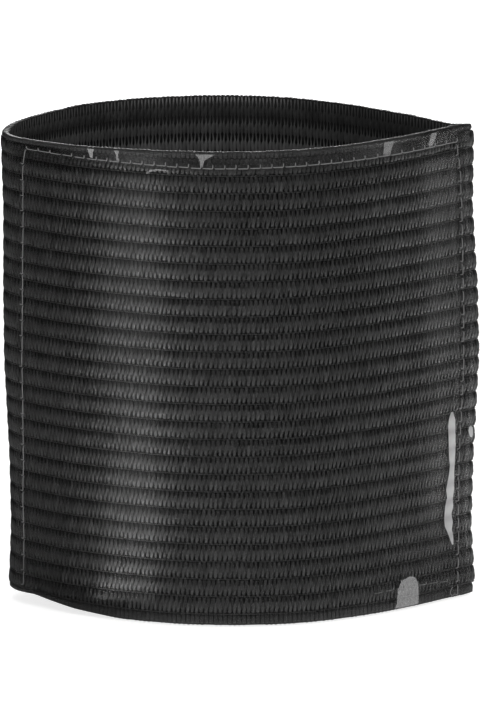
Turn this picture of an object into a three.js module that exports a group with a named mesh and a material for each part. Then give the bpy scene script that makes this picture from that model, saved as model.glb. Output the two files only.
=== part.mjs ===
// An elastic armband: a loop of wide ribbed elastic webbing that stands on its lower edge, with a
// clear vinyl window laid over its front wall. The plan is an eye shape, rounded at the left fold and
// creased at the right one. X runs to the right, Y runs from the front wall to the back wall, Z is up.
// Sizes are in millimetres.
import * as THREE from "three";

// The webbing: its width stands as the height of the band
const BAND_HEIGHT = 100;
const RIB_COUNT = 26;
const LOWER_SELVEDGE = 2.6;
const UPPER_SELVEDGE = 1.46;
const RIB_PITCH = (BAND_HEIGHT - LOWER_SELVEDGE - UPPER_SELVEDGE) / RIB_COUNT;

// The section of a rib, as depths below the crests and as shares of the pitch from its lower valley
const OUTER_RELIEF = 0.55;
const INNER_RELIEF = 0.15;
const OUTER_CREST_FROM = 0.3;
const OUTER_CREST_TO = 0.7;
const INNER_CREST_AT = 0.5;

// The clear window: a thin sheet just off the crests, whose free edges stand a little prouder
const WINDOW_THICKNESS = 0.45;
const WINDOW_GAP = 0.3;
const WINDOW_BOTTOM = 0.7;
const WINDOW_TOP = 99.7;
const WINDOW_FREE_EDGE_LIFT = 0.25;
const WINDOW_FREE_EDGE_WIDTH = 3.2;

// Each row is one place round the loop, from the middle of the front wall to the right and on round
// the back: the crest of the outer face, the crest of the inner face across the wall from it, how far
// the upper edge lies lower there and the lower edge higher, and the number of flat facets from there
// to the next row. Both edges of the webbing draw in towards the rounded left fold.
const PLAN = [
  { outer: [0, 0], inner: [0, 2.2], drop: 0, rise: 0, facets: 2 },
  { outer: [12.7, 2.0], inner: [12.0, 4.1], drop: 0, rise: 0, facets: 2 },
  { outer: [25.2, 8.4], inner: [24.0, 10.2], drop: 0, rise: 0, facets: 2 },
  { outer: [36.0, 17.0], inner: [34.5, 18.6], drop: 0, rise: 0, facets: 2 },
  { outer: [44.2, 25.3], inner: [42.7, 26.9], drop: 0, rise: 0, facets: 1 },
  { outer: [48.2, 29.0], inner: [44.9, 29.2], drop: 0.1, rise: 0, facets: 1 },
  { outer: [49.3, 30.9], inner: [45.4, 30.1], drop: 0.3, rise: 0, facets: 1 },
  { outer: [48.0, 32.7], inner: [44.9, 30.9], drop: 0.6, rise: 0, facets: 1 },
  { outer: [44.6, 33.8], inner: [43.4, 31.9], drop: 0.8, rise: 0, facets: 2 },
  { outer: [36.5, 39.3], inner: [35.2, 37.5], drop: 0.1, rise: 0, facets: 2 },
  { outer: [24.0, 49.2], inner: [22.8, 47.4], drop: 0, rise: 0, facets: 2 },
  { outer: [10.0, 57.0], inner: [9.2, 54.9], drop: 0, rise: 0, facets: 2 },
  { outer: [-5.0, 59.2], inner: [-4.9, 57.0], drop: 0, rise: 0, facets: 2 },
  { outer: [-20.0, 56.4], inner: [-19.2, 54.4], drop: 0, rise: 0, facets: 2 },
  { outer: [-33.0, 49.6], inner: [-31.7, 47.8], drop: 0, rise: 0.6, facets: 2 },
  { outer: [-43.6, 39.3], inner: [-41.9, 37.9], drop: 0.45, rise: 2.1, facets: 2 },
  { outer: [-47.9, 33.9], inner: [-45.8, 33.0], drop: 1.1, rise: 2.2, facets: 1 },
  { outer: [-49.3, 28.6], inner: [-47.1, 28.6], drop: 1.6, rise: 2.2, facets: 1 },
  { outer: [-47.9, 23.4], inner: [-45.9, 24.4], drop: 1.5, rise: 2.2, facets: 2 },
  { outer: [-43.5, 18.4], inner: [-42.0, 20.0], drop: 1.35, rise: 2.4, facets: 2 },
  { outer: [-35.0, 11.4], inner: [-33.8, 13.2], drop: 1.0, rise: 0.95, facets: 2 },
  { outer: [-24.8, 5.8], inner: [-23.9, 7.8], drop: 0.55, rise: 0, facets: 2 },
  { outer: [-12.4, 1.2], inner: [-11.9, 3.3], drop: 0.12, rise: 0, facets: 2 },
];
const WINDOW_FIRST_ROW = 18;
const WINDOW_LAST_ROW = 5;

// How far each end of the loop leans to the right at a height, fading out towards the middle
const END_LEAN = [
  { height: 0, left: 1.2, right: 0.1 },
  { height: 15, left: 1.5, right: -0.3 },
  { height: 30, left: 1.2, right: 0.0 },
  { height: 50, left: 0.2, right: 0.8 },
  { height: 65, left: 0.0, right: 0.7 },
  { height: 82, left: 0.1, right: -0.2 },
  { height: 100, left: -0.5, right: -0.4 },
];
const LOOP_HALF_WIDTH = 49.3;
const LEAN_FADE_POWER = 3;

// How far in from an edge of the webbing its drop or rise is felt
const EDGE_REACH = 6.5;

const smooth = (share) => {
  const t = THREE.MathUtils.clamp(share, 0, 1);
  return t * t * (3 - 2 * t);
};

const closedCurve = (points) =>
  new THREE.CatmullRomCurve3(
    points.map(([x, y]) => new THREE.Vector3(x, y, 0)),
    true,
    "centripetal",
  );
const outerCurve = closedCurve(PLAN.map((row) => row.outer));
const innerCurve = closedCurve(PLAN.map((row) => row.inner));

// One upright section of the loop: its outer and inner crests, the way into the wall and the way out
// of it, and how far the edges draw in there
function stationAt(row) {
  const share = (row / PLAN.length) % 1;
  const outer = outerCurve.getPoint(share);
  const inner = innerCurve.getPoint(share);
  const tangent = outerCurve.getTangent(share);
  const here = PLAN[Math.floor(row) % PLAN.length];
  const next = PLAN[(Math.floor(row) + 1) % PLAN.length];
  return {
    outer,
    inner,
    inward: inner.clone().sub(outer).normalize(),
    outward: new THREE.Vector3(tangent.y, -tangent.x, 0),
    drop: THREE.MathUtils.lerp(here.drop, next.drop, row % 1),
    rise: THREE.MathUtils.lerp(here.rise, next.rise, row % 1),
  };
}

// The stations from one row to another, going round the loop
function stations(firstRow, rowSpan) {
  const found = [];
  for (let i = 0; i < rowSpan; i++) {
    const row = (firstRow + i) % PLAN.length;
    for (let k = 0; k < PLAN[row].facets; k++)
      found.push(stationAt(row + k / PLAN[row].facets));
  }
  return found;
}

function leanAt(height, side) {
  const above = END_LEAN.findIndex((row) => row.height >= height);
  const upper = END_LEAN[Math.max(above, 1)];
  const lower = END_LEAN[Math.max(above, 1) - 1];
  const share = (height - lower.height) / (upper.height - lower.height);
  return THREE.MathUtils.lerp(lower[side], upper[side], smooth(share));
}

// A point at a station and a height, off from a crest along a direction, where the webbing has settled
function settled(at, crest, way, off, height) {
  const plan = crest.clone().addScaledVector(way, off);
  const nearTop = Math.max(0, 1 - (BAND_HEIGHT - height) / EDGE_REACH);
  const nearBottom = Math.max(0, 1 - height / EDGE_REACH);
  const z = height + at.rise * nearBottom ** 2 - at.drop * nearTop ** 2;
  const end = Math.min(1, Math.abs(plan.x) / LOOP_HALF_WIDTH);
  const lean = leanAt(height, plan.x < 0 ? "left" : "right") * end ** LEAN_FADE_POWER;
  return new THREE.Vector3(plan.x + lean, plan.y, z);
}

// The outer face of the webbing from its lower edge up, as a height and a depth below the crests
function outerProfile() {
  const rows = [{ height: 0, depth: OUTER_RELIEF }];
  for (let rib = 0; rib < RIB_COUNT; rib++) {
    const valley = LOWER_SELVEDGE + rib * RIB_PITCH;
    rows.push({ height: valley, depth: OUTER_RELIEF });
    rows.push({ height: valley + OUTER_CREST_FROM * RIB_PITCH, depth: 0 });
    rows.push({ height: valley + OUTER_CREST_TO * RIB_PITCH, depth: 0 });
  }
  rows.push({ height: BAND_HEIGHT - UPPER_SELVEDGE, depth: OUTER_RELIEF });
  rows.push({ height: BAND_HEIGHT, depth: OUTER_RELIEF });
  return rows;
}

// The inner face from its upper edge down
function innerProfile() {
  const rows = [{ height: BAND_HEIGHT, depth: INNER_RELIEF }];
  for (let rib = RIB_COUNT - 1; rib >= 0; rib--) {
    const valley = LOWER_SELVEDGE + rib * RIB_PITCH;
    rows.push({ height: valley + INNER_CREST_AT * RIB_PITCH, depth: 0 });
    rows.push({ height: valley, depth: INNER_RELIEF });
  }
  rows.push({ height: 0, depth: INNER_RELIEF });
  return rows;
}

// A solid through rings of points that match one by one. An open run of rings gets two flat ends,
// where each point of the ring's first half is joined to the one across from it.
function loft(rings, closed) {
  const size = rings[0].length;
  const position = rings.flat().flatMap((p) => [p.x, p.y, p.z]);
  const index = [];
  const quad = (a, b, c, d) => index.push(a, b, c, a, c, d);
  const runs = closed ? rings.length : rings.length - 1;
  for (let j = 0; j < runs; j++) {
    const here = j * size;
    const next = ((j + 1) % rings.length) * size;
    for (let k = 0; k < size; k++) {
      const up = (k + 1) % size;
      quad(here + k, next + k, next + up, here + up);
    }
  }
  if (!closed) {
    const last = (rings.length - 1) * size;
    for (let k = 0; k < size / 2 - 1; k++) {
      const across = size - 1 - k;
      quad(k, k + 1, across - 1, across);
      quad(last + k, last + across, last + across - 1, last + k + 1);
    }
  }
  const geometry = new THREE.BufferGeometry();
  geometry.setAttribute("position", new THREE.Float32BufferAttribute(position, 3));
  geometry.setIndex(index);
  geometry.computeVertexNormals();
  return geometry;
}

function elasticBand() {
  const outerRows = outerProfile();
  const innerRows = innerProfile();
  const rings = stations(0, PLAN.length).map((at) => [
    ...outerRows.map(({ height, depth }) => settled(at, at.outer, at.inward, depth, height)),
    ...innerRows.map(({ height, depth }) => settled(at, at.inner, at.inward, -depth, height)),
  ]);
  const material = new THREE.MeshStandardMaterial({
    color: 0x232324,
    roughness: 0.85,
    metalness: 0,
  });
  const mesh = new THREE.Mesh(loft(rings, true), material);
  mesh.name = "elastic_band";
  return mesh;
}

function clearWindow() {
  const rows = [
    { height: WINDOW_BOTTOM, lift: WINDOW_FREE_EDGE_LIFT },
    { height: WINDOW_BOTTOM + WINDOW_FREE_EDGE_WIDTH, lift: 0 },
    { height: BAND_HEIGHT * 0.25, lift: 0 },
    { height: BAND_HEIGHT * 0.5, lift: 0 },
    { height: BAND_HEIGHT * 0.75, lift: 0 },
    { height: WINDOW_TOP - WINDOW_FREE_EDGE_WIDTH, lift: 0 },
    { height: WINDOW_TOP, lift: WINDOW_FREE_EDGE_LIFT },
  ];
  const rowSpan = PLAN.length - WINDOW_FIRST_ROW + WINDOW_LAST_ROW;
  const run = [...stations(WINDOW_FIRST_ROW, rowSpan), stationAt(WINDOW_LAST_ROW)];
  const face = (at, { height, lift }, off) =>
    settled(at, at.outer, at.outward, off + lift, height);
  const rings = run.map((at) => [
    ...rows.map((row) => face(at, row, WINDOW_GAP + WINDOW_THICKNESS)),
    ...rows.toReversed().map((row) => face(at, row, WINDOW_GAP)),
  ]);
  const material = new THREE.MeshStandardMaterial({
    color: 0xe8ebee,
    roughness: 0.12,
    metalness: 0,
    transparent: true,
    opacity: 0.2,
  });
  const mesh = new THREE.Mesh(loft(rings, false), material);
  mesh.name = "clear_window";
  return mesh;
}

// The origin is the middle of the loop's box, on the surface that it stands on
const armband = new THREE.Group();
armband.add(elasticBand(), clearWindow());
const box = new THREE.Box3().setFromObject(armband);
const middle = box.getCenter(new THREE.Vector3());
armband.position.set(-middle.x, -middle.y, -box.min.z);

export default armband;
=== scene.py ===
"""An elastic armband with a clear window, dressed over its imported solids.

Every piece is laid out flat first, the way webbing is woven, and then bent round the standing loop. The
flat frame is in millimetres: X runs along the webbing, from the middle of the front wall to the right,
Y goes into the wall from the crests of the ribs, and Z is the height above the lower edge.
"""

from __future__ import annotations

import logging
import math
from dataclasses import dataclass, field
from enum import Enum

import bmesh
import bpy
import numpy as np
from mathutils import Matrix, Vector

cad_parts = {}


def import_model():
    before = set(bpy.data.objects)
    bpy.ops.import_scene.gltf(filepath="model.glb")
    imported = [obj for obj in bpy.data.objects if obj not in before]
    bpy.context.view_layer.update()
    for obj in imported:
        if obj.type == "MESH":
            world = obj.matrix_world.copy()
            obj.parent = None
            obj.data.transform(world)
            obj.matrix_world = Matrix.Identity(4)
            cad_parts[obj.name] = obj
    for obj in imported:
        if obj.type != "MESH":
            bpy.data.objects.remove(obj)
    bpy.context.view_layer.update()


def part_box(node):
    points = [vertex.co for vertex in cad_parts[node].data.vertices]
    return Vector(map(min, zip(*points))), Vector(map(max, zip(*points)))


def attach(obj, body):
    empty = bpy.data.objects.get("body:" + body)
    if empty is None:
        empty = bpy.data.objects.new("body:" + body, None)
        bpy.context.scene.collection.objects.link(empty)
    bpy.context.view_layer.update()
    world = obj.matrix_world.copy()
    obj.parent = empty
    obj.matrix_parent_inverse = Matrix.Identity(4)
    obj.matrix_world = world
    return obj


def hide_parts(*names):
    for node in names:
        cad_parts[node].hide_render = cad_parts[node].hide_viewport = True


LOG = logging.getLogger("armband")
MM = 0.001
BODY = "root"


# Sizes of the loop, as its solids have them


@dataclass(frozen=True)
class PlanRow:
    """One place round the loop.

    The crest of the outer face, the crest of the inner face across from it, and how far the upper edge
    lies lower there and the lower edge higher.
    """

    outer: tuple[float, float]
    inner: tuple[float, float]
    drop: float = 0.0
    rise: float = 0.0


PLAN = (
    PlanRow(outer=(0, 0), inner=(0, 2.2)),
    PlanRow(outer=(12.7, 2.0), inner=(12.0, 4.1)),
    PlanRow(outer=(25.2, 8.4), inner=(24.0, 10.2)),
    PlanRow(outer=(36.0, 17.0), inner=(34.5, 18.6)),
    PlanRow(outer=(44.2, 25.3), inner=(42.7, 26.9)),
    PlanRow(outer=(48.2, 29.0), inner=(44.9, 29.2), drop=0.1),
    PlanRow(outer=(49.3, 30.9), inner=(45.4, 30.1), drop=0.3),
    PlanRow(outer=(48.0, 32.7), inner=(44.9, 30.9), drop=0.6),
    PlanRow(outer=(44.6, 33.8), inner=(43.4, 31.9), drop=0.8),
    PlanRow(outer=(36.5, 39.3), inner=(35.2, 37.5), drop=0.1),
    PlanRow(outer=(24.0, 49.2), inner=(22.8, 47.4)),
    PlanRow(outer=(10.0, 57.0), inner=(9.2, 54.9)),
    PlanRow(outer=(-5.0, 59.2), inner=(-4.9, 57.0)),
    PlanRow(outer=(-20.0, 56.4), inner=(-19.2, 54.4)),
    PlanRow(outer=(-33.0, 49.6), inner=(-31.7, 47.8), rise=0.6),
    PlanRow(outer=(-43.6, 39.3), inner=(-41.9, 37.9), drop=0.45, rise=2.1),
    PlanRow(outer=(-47.9, 33.9), inner=(-45.8, 33.0), drop=1.1, rise=2.2),
    PlanRow(outer=(-49.3, 28.6), inner=(-47.1, 28.6), drop=1.6, rise=2.2),
    PlanRow(outer=(-47.9, 23.4), inner=(-45.9, 24.4), drop=1.5, rise=2.2),
    PlanRow(outer=(-43.5, 18.4), inner=(-42.0, 20.0), drop=1.35, rise=2.4),
    PlanRow(outer=(-35.0, 11.4), inner=(-33.8, 13.2), drop=1.0, rise=0.95),
    PlanRow(outer=(-24.8, 5.8), inner=(-23.9, 7.8), drop=0.55),
    PlanRow(outer=(-12.4, 1.2), inner=(-11.9, 3.3), drop=0.12),
)


@dataclass(frozen=True)
class LeanRow:
    """How far each end of the loop leans to the right at a height."""

    height: float
    left: float
    right: float


LEAN = (
    LeanRow(height=0, left=1.2, right=0.1),
    LeanRow(height=15, left=1.8, right=-0.8),
    LeanRow(height=30, left=1.5, right=-0.4),
    LeanRow(height=50, left=0.45, right=0.7),
    LeanRow(height=65, left=0.3, right=0.4),
    LeanRow(height=82, left=0.35, right=-0.7),
    LeanRow(height=100, left=-0.2, right=-0.5),
)


@dataclass(frozen=True)
class Webbing:
    """The woven strip that the loop is made of, in millimetres."""

    height: float = 100.0
    wall: float = 2.2
    rib_count: int = 26
    column_count: int = 246
    lower_selvedge: float = 2.6
    upper_selvedge: float = 1.46

    @property
    def rib_pitch(self) -> float:
        """The height of one rib."""
        ribbed = self.height - self.lower_selvedge - self.upper_selvedge
        return ribbed / self.rib_count


@dataclass
class Loop:
    """The standing loop, which bends what is laid out flat to its shape and place in the frame."""

    webbing: Webbing
    half_width: float = 49.3
    lean_fade_power: float = 3.0
    edge_reach: float = 6.5
    samples_per_row: int = 48
    window_from: float = -56.0
    window_to: float = 58.5
    window_gap: float = 0.16
    window_thickness: float = 0.3
    top_seam: float = 96.7
    left_seam: float = -50.3
    right_seam: float = 54.1
    seam_depth: float = 0.25
    seam_reach: float = 2.2
    packed_from: float = 3.8
    packed_to: float = 2.4
    side_reach: float = 1.6
    top_reach: float = 2.0
    seam_flat: float = 0.3
    sheet_press: float = 0.6
    join_reach: float = 1e-3
    outer: np.ndarray = field(init=False)
    inner: np.ndarray = field(init=False)
    outward: np.ndarray = field(init=False)
    along: np.ndarray = field(init=False)
    origin: np.ndarray = field(init=False)

    def __post_init__(self) -> None:
        """Samples the plan finely, and finds where the frame has put it."""
        self.outer = self.closed_curve([row.outer for row in PLAN])
        self.inner = self.closed_curve([row.inner for row in PLAN])
        steps = np.linalg.norm(np.diff(self.outer, axis=0), axis=1)
        self.along = np.concatenate([[0.0], np.cumsum(steps)])
        tangent = np.roll(self.outer[:-1], -1, axis=0) - np.roll(self.outer[:-1], 1, axis=0)
        tangent /= np.linalg.norm(tangent, axis=1)[:, None]
        outward = np.stack([tangent[:, 1], -tangent[:, 0]], axis=1)
        self.outward = np.vstack([outward, outward[:1]])
        low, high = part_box("elastic_band")
        plan_middle = sum(self.plan_reach()) / 2
        self.origin = np.array([(low[0] + high[0]) / 2 / MM - plan_middle, low[1] / MM, low[2] / MM])

    @property
    def length(self) -> float:
        """The way round the loop along the crests of its outer face."""
        return float(self.along[-1])

    def plan_reach(self) -> tuple[float, float]:
        """How far the loop reaches to the left and to the right of the middle of its front."""
        left = min(row.left for row in LEAN)
        right = max(row.right for row in LEAN)
        return left - self.half_width, right + self.half_width

    def closed_curve(self, points: list[tuple[float, float]]) -> np.ndarray:
        """Runs a closed centripetal curve through points.

        Args:
            points: the points that it goes through, in order.

        Returns:
            Its samples as rows of X and Y, with the first one again at the end.
        """
        p1 = np.array(points, float)
        p0, p2, p3 = np.roll(p1, 1, axis=0), np.roll(p1, -1, axis=0), np.roll(p1, -2, axis=0)
        pairs = ((p0, p1), (p1, p2), (p2, p3))
        d0, d1, d2 = (np.linalg.norm(b - a, axis=1)[:, None] ** 0.5 for a, b in pairs)
        start = ((p1 - p0) / d0 - (p2 - p0) / (d0 + d1) + (p2 - p1) / d1) * d1
        end = ((p2 - p1) / d1 - (p3 - p1) / (d1 + d2) + (p3 - p2) / d2) * d1
        t = np.linspace(0, 1, self.samples_per_row, endpoint=False)[None, :, None]
        p1, p2, start, end = (a[:, None, :] for a in (p1, p2, start, end))
        bend = 3 * (p2 - p1) - 2 * start - end
        twist = 2 * (p1 - p2) + start + end
        samples = (p1 + start * t + bend * t**2 + twist * t**3).reshape(-1, 2)
        return np.vstack([samples, samples[:1]])

    def along_at_row(self, row: int) -> float:
        """The way along the webbing at one of the plan's rows, from minus half a loop to half a loop."""
        way = float(self.along[row * self.samples_per_row])
        return way - self.length if way > self.length / 2 else way

    def bend(self, flat: np.ndarray) -> np.ndarray:
        """Bends points of the flat frame round the loop.

        Args:
            flat: rows of the way along, the depth and the height, in millimetres.

        Returns:
            Rows of X, Y and Z in the frame, in metres.
        """
        along, depth, height = np.mod(flat[:, 0], self.length), flat[:, 1], flat[:, 2]
        outer, inner, outward = (
            np.stack([np.interp(along, self.along, curve[:, k]) for k in range(2)], axis=1)
            for curve in (self.outer, self.inner, self.outward)
        )
        inside = np.maximum(depth, 0)[:, None] / self.webbing.wall
        proud = np.maximum(-depth, 0)[:, None]
        plan = outer + (inner - outer) * inside + outward * proud
        x, y = plan[:, 0], plan[:, 1]
        z = height + self.edge_shift(along, height)
        end = np.minimum(1, np.abs(x) / self.half_width) ** self.lean_fade_power
        levels = [row.height for row in LEAN]
        left = np.interp(height, levels, [row.left for row in LEAN])
        right = np.interp(height, levels, [row.right for row in LEAN])
        x = x + np.where(x < 0, left, right) * end
        return (np.stack([x, y, z], axis=1) + self.origin) * MM

    def edge_shift(self, along: np.ndarray, height: np.ndarray) -> np.ndarray:
        """How far the edges of the webbing draw in.

        Args:
            along: the places along the webbing, from 0 to the loop's length.
            height: the heights on the flat webbing.

        Returns:
            What to add to each height.
        """
        rows = self.along[:: self.samples_per_row]
        drop = np.interp(along, rows, [row.drop for row in PLAN] + [PLAN[0].drop])
        rise = np.interp(along, rows, [row.rise for row in PLAN] + [PLAN[0].rise])
        near_top = np.clip(1 - (self.webbing.height - height) / self.edge_reach, 0, 1)
        near_bottom = np.clip(1 - height / self.edge_reach, 0, 1)
        return rise * near_bottom**2 - drop * near_top**2

    def wall_normal(self, along: np.ndarray) -> np.ndarray:
        """The way out of the wall at places along the webbing, as rows of X, Y and Z."""
        along = np.mod(along, self.length)
        x, y = (np.interp(along, self.along, self.outward[:, k]) for k in range(2))
        return np.stack([x, y, np.zeros(len(along))], axis=1)

    def on_front(self, along: np.ndarray) -> np.ndarray:
        """Whether places along the webbing lie under the window."""
        return (along > self.window_from) & (along < self.window_to)

    def seam_press(self, along: np.ndarray, height: np.ndarray) -> np.ndarray:
        """How much deeper the yarns lie where the window's top seam presses them into the webbing."""
        above = smooth_share(height, self.top_seam - self.seam_reach, self.top_seam)
        return np.where(self.on_front(along), self.seam_depth * above, 0.0)

    def packed_share(self, along: np.ndarray, height: np.ndarray) -> np.ndarray:
        """How far the yarns close up under the window's top seam and its margin, from 0 to 1."""
        near = smooth_share(height, self.top_seam - self.packed_from, self.top_seam - self.packed_to)
        return np.where(self.on_front(along), near, 0.0)

    def window_lift(self, along: np.ndarray, height: np.ndarray) -> np.ndarray:
        """How far the window's back stands off the crests, less along its seams and its ends."""
        near_top = smooth_share(np.abs(height - self.top_seam), self.top_reach, self.seam_flat)
        near_right = smooth_share(self.right_seam - along, self.side_reach, self.seam_flat)
        near_left = smooth_share(along - self.left_seam, self.side_reach, self.seam_flat)
        near = np.maximum(near_top, np.maximum(near_right, near_left))
        return self.window_gap * (1 - near) - self.seam_depth * self.sheet_press * near_top

    def close(self, bm: bmesh.types.BMesh) -> None:
        """Closes what was swept along the whole webbing, by giving its last section to its first."""
        last = [vert for vert in bm.verts if vert.co.x > self.length - self.join_reach]
        for vert in last:
            vert.co.x = 0.0
        first = [vert for vert in bm.verts if vert.co.x < self.join_reach]
        bmesh.ops.remove_doubles(bm, verts=first, dist=self.join_reach / 10)


# Tools for meshes


def read_points(mesh: bpy.types.Mesh) -> np.ndarray:
    """Reads a mesh's vertices as rows of X, Y and Z."""
    points = np.empty(len(mesh.vertices) * 3, np.float32)
    mesh.vertices.foreach_get("co", points)
    return points.reshape(-1, 3).astype(float)


def finished_mesh(bm: bmesh.types.BMesh, name: str) -> bpy.types.Mesh:
    """Turns a bmesh into a mesh and frees it."""
    bmesh.ops.recalc_face_normals(bm, faces=bm.faces)
    mesh = bpy.data.meshes.new(name)
    bm.to_mesh(mesh)
    bm.free()
    return mesh


def ring(
    centre: tuple[float, float, float],
    way: Vector,
    side: Vector,
    wide: float,
    thick: float,
) -> Matrix:
    """Places a unit circle as one ring of a tube.

    Args:
        centre: the ring's middle.
        way: the direction in which the tube runs there.
        side: the direction of the ring's width.
        wide: half the ring's width.
        thick: half the ring's thickness.

    Returns:
        The placing of a unit circle that lies in X and Y.
    """
    out = way.cross(side).normalized()
    columns = Matrix((side.normalized() * wide, out * thick, way.normalized())).transposed()
    return Matrix.Translation(centre) @ columns.to_4x4()


def tube(bm: bmesh.types.BMesh, rings: list[Matrix], sides: int) -> None:
    """Runs a capped tube through rings.

    Args:
        bm: the mesh that gets the tube.
        rings: the placings of its unit circles, one after the other.
        sides: how many sides it has.
    """
    loops = []
    for index, place in enumerate(rings):
        at_end = index in (0, len(rings) - 1)
        made = bmesh.ops.create_circle(bm, cap_ends=at_end, segments=sides, radius=1.0, matrix=place)
        loops.append(list({edge for vert in made["verts"] for edge in vert.link_edges}))
    for first, second in zip(loops, loops[1:]):
        bmesh.ops.bridge_loops(bm, edges=first + second)


def repeated(unit: bpy.types.Mesh, *runs: tuple[int, Vector]) -> bpy.types.Mesh:
    """Repeats a unit in rows with Array modifiers.

    Args:
        unit: the mesh to repeat, which is used up.
        runs: for each direction, how many copies there are and the step between them.

    Returns:
        The copies as one mesh, in which each copy's vertices follow one another.
    """
    name = unit.name
    holder = bpy.data.objects.new(name, unit)
    bpy.context.scene.collection.objects.link(holder)
    for count, step in runs:
        array = holder.modifiers.new("run", "ARRAY")
        array.count = count
        array.use_relative_offset = False
        array.use_constant_offset = True
        array.constant_offset_displace = step
    graph = bpy.context.evaluated_depsgraph_get()
    mesh = bpy.data.meshes.new_from_object(holder.evaluated_get(graph), depsgraph=graph)
    bpy.data.objects.remove(holder)
    bpy.data.meshes.remove(unit)
    mesh.name = name
    return mesh


def patchy(
    chance: np.random.Generator,
    rows: int,
    columns: int,
    patch: tuple[float, float],
) -> np.ndarray:
    """Makes chance numbers that change slowly over the cloth.

    Args:
        chance: where the numbers come from.
        rows: how many rows of numbers there are.
        columns: how many numbers each row has.
        patch: how many rows and columns a patch spans.

    Returns:
        The numbers, from -1 to 1, as rows.
    """
    tall, wide = math.ceil(rows / patch[0]) + 1, math.ceil(columns / patch[1]) + 1
    coarse = chance.uniform(-1.0, 1.0, (tall, wide))
    across = [np.interp(np.arange(columns) / patch[1], np.arange(wide), row) for row in coarse]
    upward = [np.interp(np.arange(rows) / patch[0], np.arange(tall), row) for row in np.transpose(across)]
    return np.transpose(upward)


def smooth_share(value: np.ndarray, start: float, end: float) -> np.ndarray:
    """Eases from 0 at one value to 1 at another."""
    t = np.clip((value - start) / (end - start), 0, 1)
    return t * t * (3 - 2 * t)


def bent_piece(
    mesh: bpy.types.Mesh,
    flat: np.ndarray,
    loop: Loop,
    material: bpy.types.Material,
    shades: np.ndarray | float = 0.5,
    painted_flank_shades: np.ndarray | float = 0.0,
) -> bpy.types.Object:
    """Bends a mesh round the loop and shows it as a piece of the armband.

    Args:
        mesh: the mesh, whose name the piece takes.
        flat: where its vertices lie on the flat webbing.
        loop: the loop that it's bent round.
        material: its finish.
        shades: the shade of each vertex, which the finish reads.
        painted_flank_shades: how much painted shade each vertex takes, which blacks out its tint and its
            gloss.

    Returns:
        The new object, which rides on the armband's body.
    """
    mesh.vertices.foreach_set("co", loop.bend(flat).astype(np.float32).ravel())
    for label, values in (("shade", shades), ("painted_flank_shade", painted_flank_shades)):
        layer = mesh.attributes.new(label, "FLOAT", "POINT")
        layer.data.foreach_set("value", (np.zeros(len(flat)) + values).astype(np.float32))
    wall = mesh.attributes.new("wall", "FLOAT_VECTOR", "POINT")
    wall.data.foreach_set("vector", loop.wall_normal(flat[:, 0]).astype(np.float32).ravel())
    mesh.materials.clear()
    mesh.materials.append(material)
    mesh.polygons.foreach_set("use_smooth", np.ones(len(mesh.polygons), bool))
    mesh.update()
    piece = bpy.data.objects.new(mesh.name, mesh)
    bpy.context.scene.collection.objects.link(piece)
    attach(piece, BODY)
    mesh.calc_loop_triangles()
    LOG.info("%s: %d triangles", mesh.name, len(mesh.loop_triangles))
    return piece


# Finishes


def node_group(name: str, inputs: dict[str, float], outputs: dict[str, str]) -> bpy.types.ShaderNodeTree:
    """Starts a shader node group with named sockets.

    Args:
        name: the group's name.
        inputs: the default of each float input.
        outputs: the socket type of each output.

    Returns:
        The group, with its input and output nodes in place.
    """
    tree = bpy.data.node_groups.new(name, "ShaderNodeTree")
    for label, value in inputs.items():
        socket = tree.interface.new_socket(label, in_out="INPUT", socket_type="NodeSocketFloat")
        socket.default_value = value
    for label, kind in outputs.items():
        tree.interface.new_socket(label, in_out="OUTPUT", socket_type=kind)
    tree.nodes.new("NodeGroupInput")
    tree.nodes.new("NodeGroupOutput")
    return tree


def math_node(
    tree: bpy.types.NodeTree,
    operation: str,
    *values: bpy.types.NodeSocket | float,
) -> bpy.types.NodeSocket:
    """Adds a math node.

    Args:
        tree: the node tree that gets it.
        operation: what it does.
        values: what it works on, as sockets or numbers.

    Returns:
        The socket with its result.
    """
    node = tree.nodes.new("ShaderNodeMath")
    node.operation = operation
    for socket, value in zip(node.inputs, values):
        if isinstance(value, bpy.types.NodeSocket):
            tree.links.new(value, socket)
        else:
            socket.default_value = value
    return node.outputs[0]


def vector_node(
    tree: bpy.types.NodeTree,
    operation: str,
    *values: bpy.types.NodeSocket | tuple,
) -> bpy.types.Node:
    """Adds a vector math node.

    Args:
        tree: the node tree that gets it.
        operation: what it does.
        values: what it works on, as sockets or triples.

    Returns:
        The node.
    """
    node = tree.nodes.new("ShaderNodeVectorMath")
    node.operation = operation
    for socket, value in zip(node.inputs, values):
        if isinstance(value, bpy.types.NodeSocket):
            tree.links.new(value, socket)
        else:
            socket.default_value = value
    return node


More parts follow.
